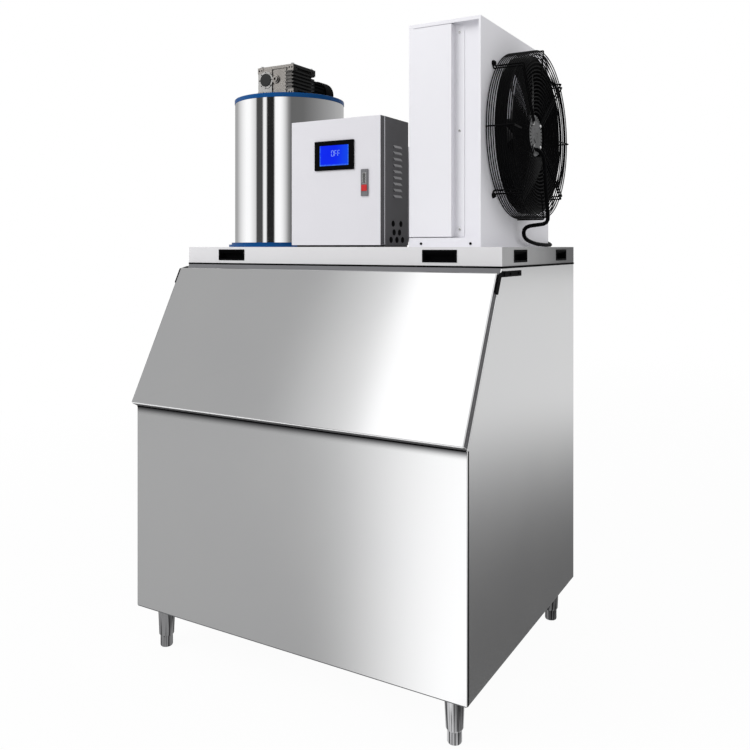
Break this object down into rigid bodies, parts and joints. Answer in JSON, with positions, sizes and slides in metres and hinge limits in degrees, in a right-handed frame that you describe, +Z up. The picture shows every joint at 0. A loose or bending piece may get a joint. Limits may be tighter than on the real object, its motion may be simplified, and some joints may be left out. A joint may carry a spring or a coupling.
{
  "type": "flake ice machine",
  "caption": "flake ice machine with a drum ice maker, control box and fan-cooled condenser on a tray over an insulated bin with a slanted door",
  "frame": {"origin": "on the floor at the middle of the machine's outline, under the bin", "axes": "+Z is up, -Y is the front with the slanted door, +X is the right side with the fan, seen from the front"},
  "size_m": [1.2271, 0.987, 2.038],
  "materials": {
    "polished_steel": "satin polished stainless sheet",
    "drum_steel": "bright polished stainless sheet",
    "inner_steel": "plain stainless",
    "machine_steel": "turned steel",
    "foam": "rigid foam",
    "food_plastic": "white food grade plastic",
    "seal_rubber": "soft black rubber",
    "black_steel": "black powder coat",
    "white_paint": "white powder coat",
    "grey_paint": "light grey powder coat",
    "dark_paint": "dark grey powder coat",
    "blue_paint": "blue enamel on cast metal",
    "black_plastic": "black moulded plastic",
    "screen_glass": "lit blue display",
    "cast_aluminium": "cast aluminium",
    "fin_aluminium": "thin aluminium fins",
    "latch_grey": "dark grey latch housing",
    "bright_metal": "plated metal",
    "red_plastic": "red moulded plastic",
    "copper": "copper tube",
    "tank_plastic": "white moulded plastic"
  },
  "bodies": {
    "machine": {"bin_shell": "polished_steel", "bin_insulation": "foam", "bin_liner": "inner_steel", "opening_frame": "food_plastic", "ice_chute": "inner_steel", "drain_outlet": "food_plastic", "bin_hinge_leaves": "black_steel", "legs": "machine_steel", "base_tray": "white_paint", "base_seal": "seal_rubber", "front_handle_cups": "black_plastic", "side_handle_cups": "black_plastic", "drum_base": "blue_paint", "drum_shell": "drum_steel", "drum_insulation": "foam", "freezing_cylinder": "inner_steel", "drum_top_cover": "blue_paint", "spindle_bearings": "machine_steel", "water_pan": "food_plastic", "gearbox": "cast_aluminium", "worm_end_cap": "black_plastic", "gear_motor": "black_steel", "motor_cowl": "black_steel", "control_case": "dark_paint", "mounting_plate": "white_paint", "contactors": "black_plastic", "condenser_case": "white_paint", "condenser_cover": "white_paint", "condenser_coil": "fin_aluminium", "guard_rings": "black_steel", "guard_arms": "black_steel", "fan_motor": "cast_aluminium", "fan_cable": "black_plastic", "compressor": "grey_paint", "receiver": "black_steel", "discharge_pipe": "copper", "suction_pipe": "copper", "water_tank": "tank_plastic", "water_pump": "black_plastic"},
    "bin_door": {"door_skin": "polished_steel", "door_core": "foam", "door_liner": "food_plastic", "door_gasket": "seal_rubber", "door_hinge_leaves": "black_steel"},
    "control_door": {"control_door": "grey_paint", "display_frame": "black_plastic", "display_screen": "screen_glass", "latch_body": "latch_grey", "latch_paddle": "bright_metal"},
    "latch_button": {"latch_button": "red_plastic"},
    "fan_rotor": {"fan_rotor": "black_steel"},
    "ice_spindle": {"spindle": "machine_steel", "blade_carrier": "inner_steel", "ice_blade": "inner_steel", "wiper": "seal_rubber", "water_ring": "inner_steel"},
    "foot_front_left": {"foot_front_left": "machine_steel"},
    "foot_front_right": {"foot_front_right": "machine_steel"},
    "foot_rear_left": {"foot_rear_left": "machine_steel"},
    "foot_rear_right": {"foot_rear_right": "machine_steel"}
  },
  "joints": [
    {"name": "bin_door_hinge", "type": "hinge", "parent": "machine", "child": "bin_door", "pos_m": [0, -0.21471, 1.267], "axis": [-1, 0, 0], "range_deg": [0, 65]},
    {"name": "control_door_hinge", "type": "hinge", "parent": "machine", "child": "control_door", "pos_m": [-0.142, -0.19471, 1.555], "axis": [0, 0, -1], "range_deg": [0, 110]},
    {"name": "latch_push", "type": "slide", "parent": "control_door", "child": "latch_button", "axis": [0, 1, 0], "range_m": [0, 0.003], "stiffness_N_per_m": 300},
    {"name": "fan_spin", "type": "hinge", "parent": "machine", "child": "fan_rotor", "pos_m": [0.511, 0.13329, 1.708], "axis": [1, 0, 0], "continuous": true},
    {"name": "spindle_turn", "type": "hinge", "parent": "machine", "child": "ice_spindle", "pos_m": [-0.36, 0.06729, 1.345], "axis": [0, 0, 1], "continuous": true},
    {"name": "foot_turn_front_left", "type": "hinge", "parent": "machine", "child": "foot_front_left", "pos_m": [-0.532, -0.39871, 0], "axis": [0, 0, 1], "continuous": true},
    {"name": "foot_turn_front_right", "type": "hinge", "parent": "machine", "child": "foot_front_right", "pos_m": [0.532, -0.39871, 0], "axis": [0, 0, 1], "continuous": true},
    {"name": "foot_turn_rear_left", "type": "hinge", "parent": "machine", "child": "foot_rear_left", "pos_m": [-0.532, 0.43929, 0], "axis": [0, 0, 1], "continuous": true},
    {"name": "foot_turn_rear_right", "type": "hinge", "parent": "machine", "child": "foot_rear_right", "pos_m": [0.532, 0.43929, 0], "axis": [0, 0, 1], "continuous": true}
  ]
}
